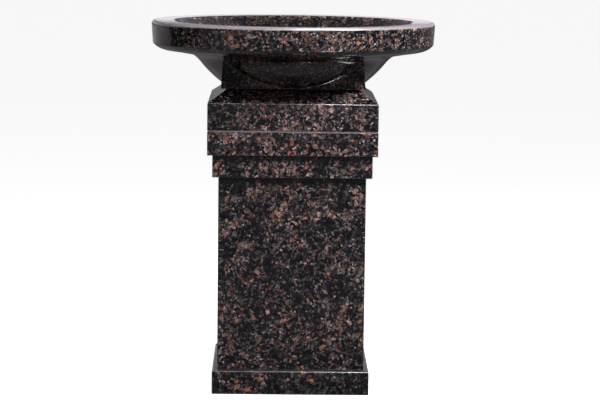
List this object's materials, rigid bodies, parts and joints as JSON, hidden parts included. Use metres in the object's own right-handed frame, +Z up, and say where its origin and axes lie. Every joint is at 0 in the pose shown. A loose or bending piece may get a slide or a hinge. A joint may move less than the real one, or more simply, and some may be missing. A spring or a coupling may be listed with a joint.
{
  "type": "baptismal font",
  "caption": "Free-standing polished granite font: a wide round basin on a square foot, on a coursed square pedestal, with a lift-out drain plug.",
  "frame": {"origin": "on the floor, at the centre of the base slab's underside", "axes": "+Z up along the drain and the bowl's axis; X and Y square to the pedestal's faces; -Y is the front"},
  "size_m": [0.735, 0.735, 0.9462],
  "materials": {
    "granite": "polished, black matrix with liver-brown feldspar crystals",
    "resin_mortar": "matt grey resin and stone dust",
    "stainless_steel": "plain drawn bar",
    "brass": "turned, lightly tarnished",
    "rubber": "matt black",
    "copper": "drawn copper tube"
  },
  "bodies": {
    "font": {"base_slab": "granite", "shaft": "granite", "lower_course": "granite", "middle_course": "granite", "cap_stone": "granite", "bowl": "granite", "shaft_bed_joint": "resin_mortar", "lower_course_bed_joint": "resin_mortar", "middle_course_bed_joint": "resin_mortar", "cap_stone_bed_joint": "resin_mortar", "bowl_bed_joint": "resin_mortar", "shaft_dowel_left": "stainless_steel", "shaft_dowel_right": "stainless_steel", "lower_course_dowel_left": "stainless_steel", "lower_course_dowel_right": "stainless_steel", "middle_course_dowel_left": "stainless_steel", "middle_course_dowel_right": "stainless_steel", "cap_stone_dowel_left": "stainless_steel", "cap_stone_dowel_right": "stainless_steel", "bowl_dowel_left": "stainless_steel", "bowl_dowel_right": "stainless_steel", "waste_body": "brass", "waste_gasket": "rubber", "clamp_gasket": "rubber", "clamp_washer": "brass", "locknut": "brass", "slip_nut": "brass", "drain_pipe": "copper"},
    "drain_plug": {"plug_body": "brass", "plug_seal": "rubber", "plug_knob": "brass"}
  },
  "joints": [
    {"name": "plug_lift", "type": "slide", "parent": "font", "child": "drain_plug", "axis": [0, 0, 1], "range_m": [0, 0.15]}
  ]
}
